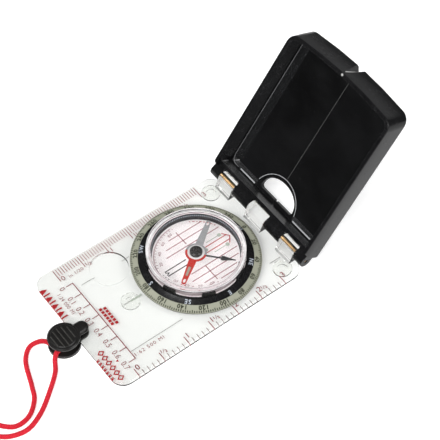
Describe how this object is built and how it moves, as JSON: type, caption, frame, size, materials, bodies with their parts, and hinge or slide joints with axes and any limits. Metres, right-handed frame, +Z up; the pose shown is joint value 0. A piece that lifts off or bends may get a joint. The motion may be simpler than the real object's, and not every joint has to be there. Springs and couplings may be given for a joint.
{
  "type": "baseplate compass",
  "caption": "Clear ruler baseplate with a turning liquid capsule, magnetic needle, tilt pointer, hinged mirror lid and a lanyard squeeze clip.",
  "frame": {"origin": "underside of the baseplate, directly below the capsule pivot", "axes": "+Z up out of the plate through the capsule, +Y from the pivot towards the lid hinge, +X to the right along the hinge pins"},
  "size_m": [0.0666, 0.2098, 0.0728],
  "materials": {
    "clear_acrylic": "polished clear",
    "silicone": "soft translucent",
    "spring_steel": "bright",
    "brass": "drawn, bright",
    "gloss_black": "moulded gloss",
    "satin_black": "moulded satin",
    "pale_scale": "pale phosphorescent print base",
    "seal_rubber": "smooth",
    "needle_paint": "red north, grey south",
    "jewel": "polished",
    "mirror": "silvered",
    "cord": "braided"
  },
  "bodies": {
    "plate": {"baseplate": "clear_acrylic", "foot_left": "silicone", "foot_right": "silicone", "foot_front": "silicone", "bezel_snap_ring": "spring_steel", "hinge_pin_left": "brass", "hinge_pin_right": "brass", "clip_lower_lever": "satin_black", "clip_pivot_pin": "spring_steel", "clip_spring": "spring_steel", "lanyard_cord": "cord"},
    "dial": {"bezel_ring": "gloss_black", "luminous_scale_ring": "pale_scale", "capsule_cup": "clear_acrylic", "capsule_seal": "seal_rubber", "capsule_window": "clear_acrylic", "inner_scale_ring": "satin_black", "pivot_pin": "spring_steel"},
    "orienting_disc_body": {"orienting_disc": "clear_acrylic"},
    "adjusting_screw_body": {"declination_screw": "spring_steel"},
    "needle": {"needle_blade": "needle_paint", "needle_hub_disc": "clear_acrylic", "needle_hub_cap": "gloss_black", "jewel_bearing": "jewel"},
    "pointer": {"tilt_pointer": "satin_black", "tilt_pointer_bush": "brass"},
    "lid": {"lid_shell": "gloss_black", "mirror": "mirror"},
    "clip_lever": {"clip_upper_lever": "satin_black"}
  },
  "joints": [
    {"name": "lid_hinge", "type": "hinge", "parent": "plate", "child": "lid", "pos_m": [0, 0.0352, 0.0067], "axis": [1, 0, 0], "range_deg": [-54, 125.5]},
    {"name": "bezel_turn", "type": "hinge", "parent": "plate", "child": "dial", "pos_m": [0, 0, 0.004], "axis": [0, 0, 1], "continuous": true},
    {"name": "declination_adjust", "type": "hinge", "parent": "dial", "child": "orienting_disc_body", "pos_m": [0, 0, 0.00315], "axis": [0, 0, 1], "range_deg": [-80, 80]},
    {"name": "declination_screw_turn", "type": "hinge", "parent": "dial", "child": "adjusting_screw_body", "pos_m": [0, 0.02297, 0.00315], "axis": [0, 0, 1], "range_deg": [-863, 863]},
    {"name": "needle_swing", "type": "hinge", "parent": "dial", "child": "needle", "pos_m": [0, 0, 0.007], "axis": [0, 0, 1], "continuous": true},
    {"name": "tilt_pointer_swing", "type": "hinge", "parent": "dial", "child": "pointer", "pos_m": [0, 0, 0.00535], "axis": [0, 0, 1], "continuous": true},
    {"name": "clip_squeeze", "type": "hinge", "parent": "plate", "child": "clip_lever", "pos_m": [0, -0.0656, 0.002], "axis": [1, 0, 0], "range_deg": [0, 7], "stiffness_Nm_per_rad": 0.05}
  ],
  "couplings": [
    {"joint": "declination_screw_turn", "follows": "declination_adjust", "ratio": -10.769}
  ]
}
